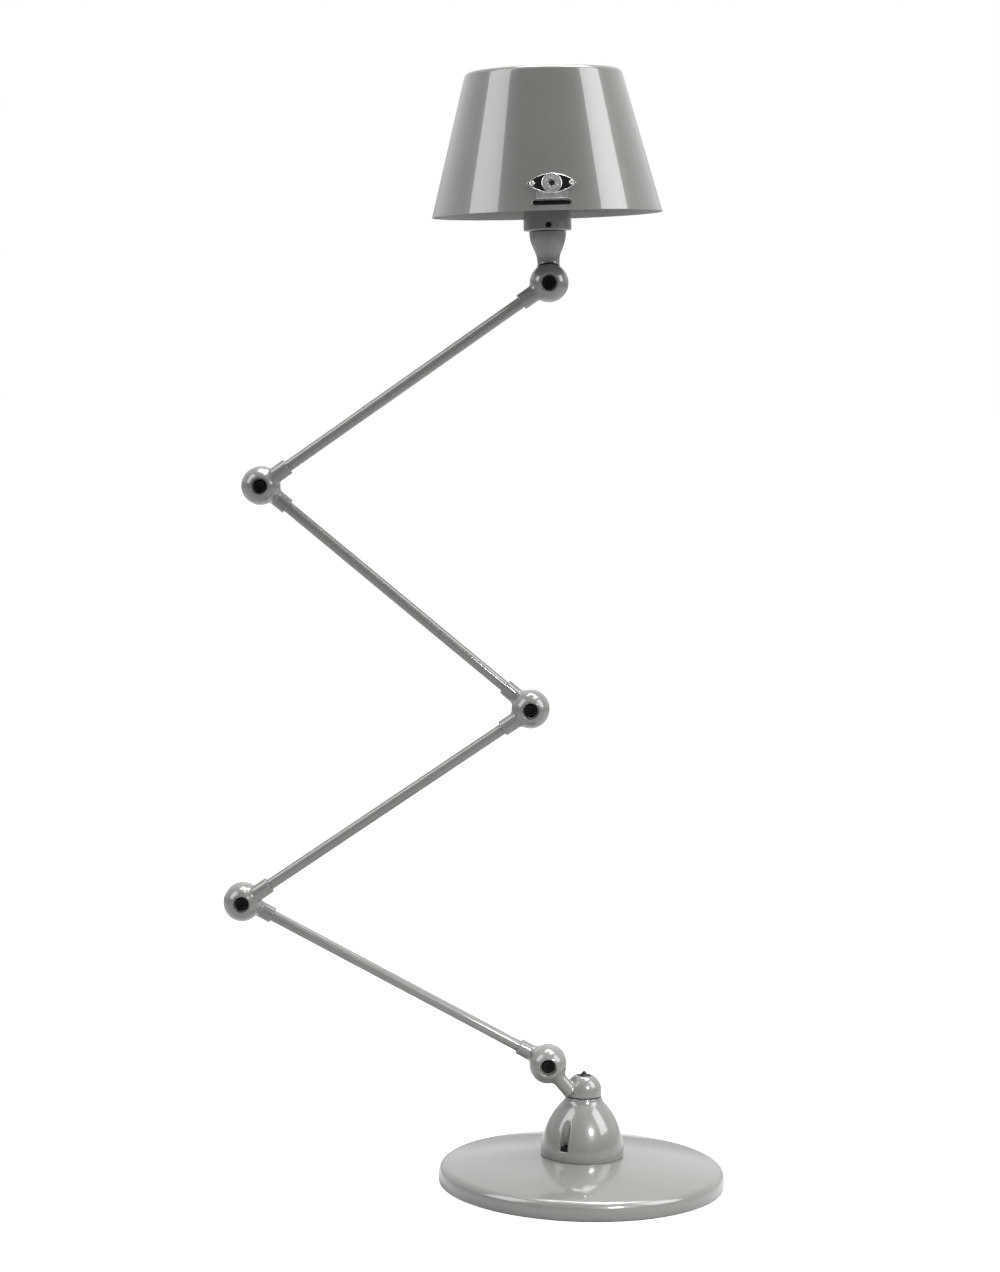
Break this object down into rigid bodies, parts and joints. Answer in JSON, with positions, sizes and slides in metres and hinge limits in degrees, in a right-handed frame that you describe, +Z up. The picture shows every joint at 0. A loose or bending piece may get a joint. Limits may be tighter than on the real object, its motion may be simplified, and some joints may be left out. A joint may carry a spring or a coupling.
{
  "type": "architect lamp",
  "caption": "Articulated architect lamp: heavy disc base, swivelling turret with a push switch, zigzag tubular arms on ball-shaped elbows and a conical shade.",
  "frame": {"origin": "centre of the base's underside, on the floor", "axes": "+Z up along the swivel axis; at rest the arms lie in the XZ plane, reaching towards -X, and the badge faces -Y"},
  "size_m": [0.4397, 0.2486, 0.9597],
  "materials": {
    "grey_enamel": "high-gloss warm grey enamel",
    "cast_iron": "rough casting",
    "rubber_pad": "matt, finely grained",
    "black_steel": "black oxide",
    "plain_steel": "zinc plated",
    "black_plastic": "moulded, satin",
    "white_plastic": "moulded, satin",
    "bakelite": "polished bakelite",
    "bakelite_brown": "polished bakelite",
    "wire_braid": "braided sleeve",
    "bulb_brass": "pressed cap",
    "bulb_glass": "frosted inside",
    "badge_metal": "polished"
  },
  "bodies": {
    "base": {"base_cover": "grey_enamel", "base_weight": "cast_iron", "base_pad": "rubber_pad", "bell_housing": "grey_enamel", "bell_screws": "black_steel", "cable_gland": "black_plastic", "terminal_block": "white_plastic"},
    "turret": {"turret": "grey_enamel", "friction_washer": "black_plastic", "swivel_spindle": "plain_steel", "swivel_nut": "plain_steel", "switch_body": "black_plastic", "switch_collar": "black_plastic", "riser_wires": "wire_braid", "turret_pivot_bolt": "black_steel", "turret_pivot_nut": "black_steel", "turret_pivot_washer": "plain_steel", "elbow_1_track_disc": "bakelite_brown"},
    "switch_button": {"switch_button": "black_plastic"},
    "arm_1": {"arm_1_tube": "grey_enamel", "arm_1_lower_knuckle": "grey_enamel", "arm_1_upper_knuckle": "grey_enamel", "arm_1_wires": "wire_braid", "elbow_1_pin_disc": "bakelite_brown", "elbow_2_pin_disc": "bakelite_brown"},
    "arm_2": {"arm_2_tube": "grey_enamel", "arm_2_lower_knuckle": "grey_enamel", "arm_2_upper_knuckle": "grey_enamel", "arm_2_wires": "wire_braid", "arm_2_pivot_bolts": "black_steel", "arm_2_pivot_nuts": "black_steel", "arm_2_pivot_washers": "plain_steel", "elbow_2_track_disc": "bakelite_brown", "elbow_3_track_disc": "bakelite_brown"},
    "arm_3": {"arm_3_tube": "grey_enamel", "arm_3_lower_knuckle": "grey_enamel", "arm_3_upper_knuckle": "grey_enamel", "arm_3_wires": "wire_braid", "elbow_3_pin_disc": "bakelite_brown", "elbow_4_pin_disc": "bakelite_brown"},
    "arm_4": {"arm_4_tube": "grey_enamel", "arm_4_lower_knuckle": "grey_enamel", "arm_4_upper_knuckle": "grey_enamel", "arm_4_wires": "wire_braid", "arm_4_pivot_bolts": "black_steel", "arm_4_pivot_nuts": "black_steel", "arm_4_pivot_washers": "plain_steel", "elbow_4_track_disc": "bakelite_brown", "elbow_5_track_disc": "bakelite_brown"},
    "head": {"head_casting": "grey_enamel", "elbow_5_pin_disc": "bakelite_brown", "lampholder": "bakelite", "bulb_cap": "bulb_brass", "bulb_glass": "bulb_glass"},
    "shade": {"shade_collar": "grey_enamel", "collar_screw": "black_steel", "shade_carrier": "black_steel", "shade": "grey_enamel", "badge": "badge_metal", "badge_eyelets": "badge_metal"}
  },
  "joints": [
    {"name": "base_swivel", "type": "hinge", "parent": "base", "child": "turret", "pos_m": [0, 0, 0.0782], "axis": [0, 0, 1], "range_deg": [-175, 175]},
    {"name": "elbow_1", "type": "hinge", "parent": "turret", "child": "arm_1", "pos_m": [-0.0316, 0, 0.1053], "axis": [0, -1, 0], "range_deg": [-75, 25]},
    {"name": "elbow_2", "type": "hinge", "parent": "arm_1", "child": "arm_2", "pos_m": [-0.2989, 0, 0.2415], "axis": [0, -1, 0], "range_deg": [-40, 110]},
    {"name": "elbow_3", "type": "hinge", "parent": "arm_2", "child": "arm_3", "pos_m": [-0.05406, 0, 0.41485], "axis": [0, 1, 0], "range_deg": [-50, 102]},
    {"name": "elbow_4", "type": "hinge", "parent": "arm_3", "child": "arm_4", "pos_m": [-0.28884, 0, 0.60161], "axis": [0, -1, 0], "range_deg": [-50, 102]},
    {"name": "elbow_5", "type": "hinge", "parent": "arm_4", "child": "head", "pos_m": [-0.04707, 0, 0.77921], "axis": [0, 1, 0], "range_deg": [-55, 150]},
    {"name": "shade_turn", "type": "hinge", "parent": "head", "child": "shade", "pos_m": [-0.04707, 0, 0.77921], "axis": [-0.0523, 0, 0.9986], "range_deg": [-175, 175]},
    {"name": "switch_press", "type": "slide", "parent": "turret", "child": "switch_button", "axis": [0, 0, -1], "range_m": [0, 0.0015], "stiffness_N_per_m": 400, "springref_m": -0.0008}
  ]
}
